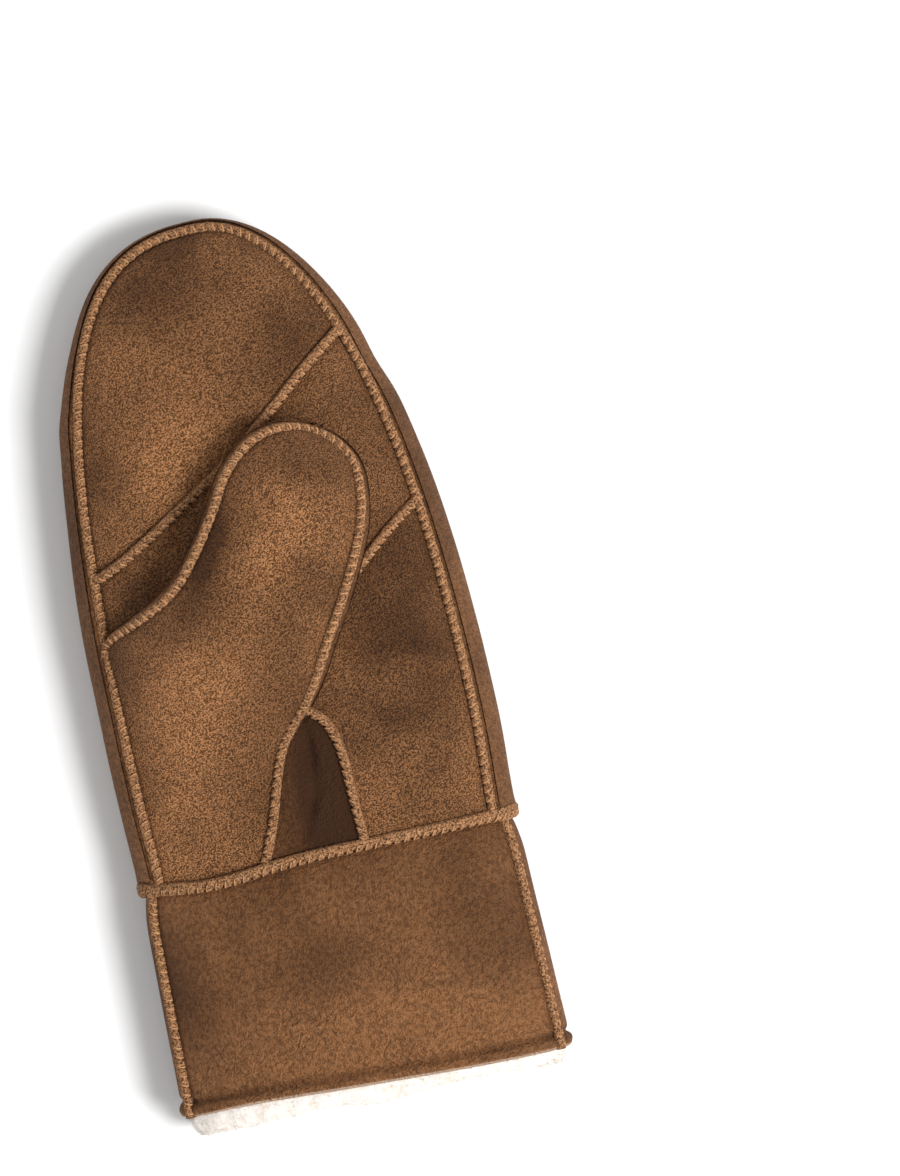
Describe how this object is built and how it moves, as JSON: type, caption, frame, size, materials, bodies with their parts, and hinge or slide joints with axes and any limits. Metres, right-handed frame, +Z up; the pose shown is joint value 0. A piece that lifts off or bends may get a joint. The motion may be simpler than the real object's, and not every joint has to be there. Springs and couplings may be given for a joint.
{
  "type": "leather mitten",
  "caption": "Left-hand sheepskin mitten with suede outside, fleece lining, raised overcast seams, a plain cuff and a set-in thumb.",
  "frame": {"origin": "centre of the base of the whole mitten's box, on the surface that it lies on", "axes": "+Z up out of the palm, +Y towards the fingertips, +X towards the little-finger side"},
  "size_m": [0.123, 0.2789, 0.0581],
  "materials": {
    "suede": "napped suede, matte",
    "cuff_leather": "smooth suede with fine creases",
    "seam_thread": "matte overcast stitching",
    "fleece": "woolly, matte"
  },
  "bodies": {
    "root": {"finger_panel": "suede", "middle_palm_panel": "suede", "palm_heel_panel": "suede", "thumb_outer_panel": "suede", "thumb_inner_panel": "cuff_leather", "heel_gusset": "cuff_leather", "side_wall": "suede", "back_panel": "suede", "cuff_palm_panel": "cuff_leather", "cuff_back_panel": "cuff_leather", "wrist_seam": "seam_thread", "palm_edge_seam": "seam_thread", "back_edge_seam": "seam_thread", "cuff_thumb_side_seam": "seam_thread", "cuff_little_side_seam": "seam_thread", "thumb_seam": "seam_thread", "heel_seam": "seam_thread", "upper_diagonal_seam": "seam_thread", "lower_diagonal_seam": "seam_thread", "fleece_lining": "fleece"}
  },
  "joints": []
}
